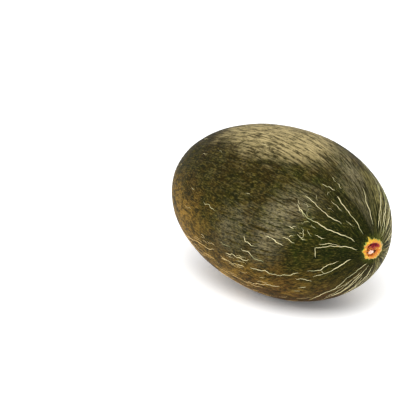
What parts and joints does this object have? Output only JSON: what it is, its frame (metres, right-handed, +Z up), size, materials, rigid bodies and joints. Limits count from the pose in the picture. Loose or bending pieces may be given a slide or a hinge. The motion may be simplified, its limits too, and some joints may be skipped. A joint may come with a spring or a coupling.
{
  "type": "melon",
  "caption": "Whole egg-shaped winter melon with a dark mottled rind and corky lines, lying on its side on a small flat spot, stem scar at one end.",
  "frame": {"origin": "on the surface that the melon rests on, below the middle of its length", "axes": "+Z up from the surface it rests on; +X along the melon's long axis, towards the scar of its stem"},
  "size_m": [0.2626, 0.164, 0.1624],
  "materials": {
    "rind": "satin waxy rind, mottled dark olive",
    "cork_net": "matte cream cork",
    "stem_scar": "torn moist fibre, yellow to dark red",
    "blossom_scar": "dry matte cork"
  },
  "bodies": {
    "root": {"melon": "rind"}
  },
  "joints": []
}
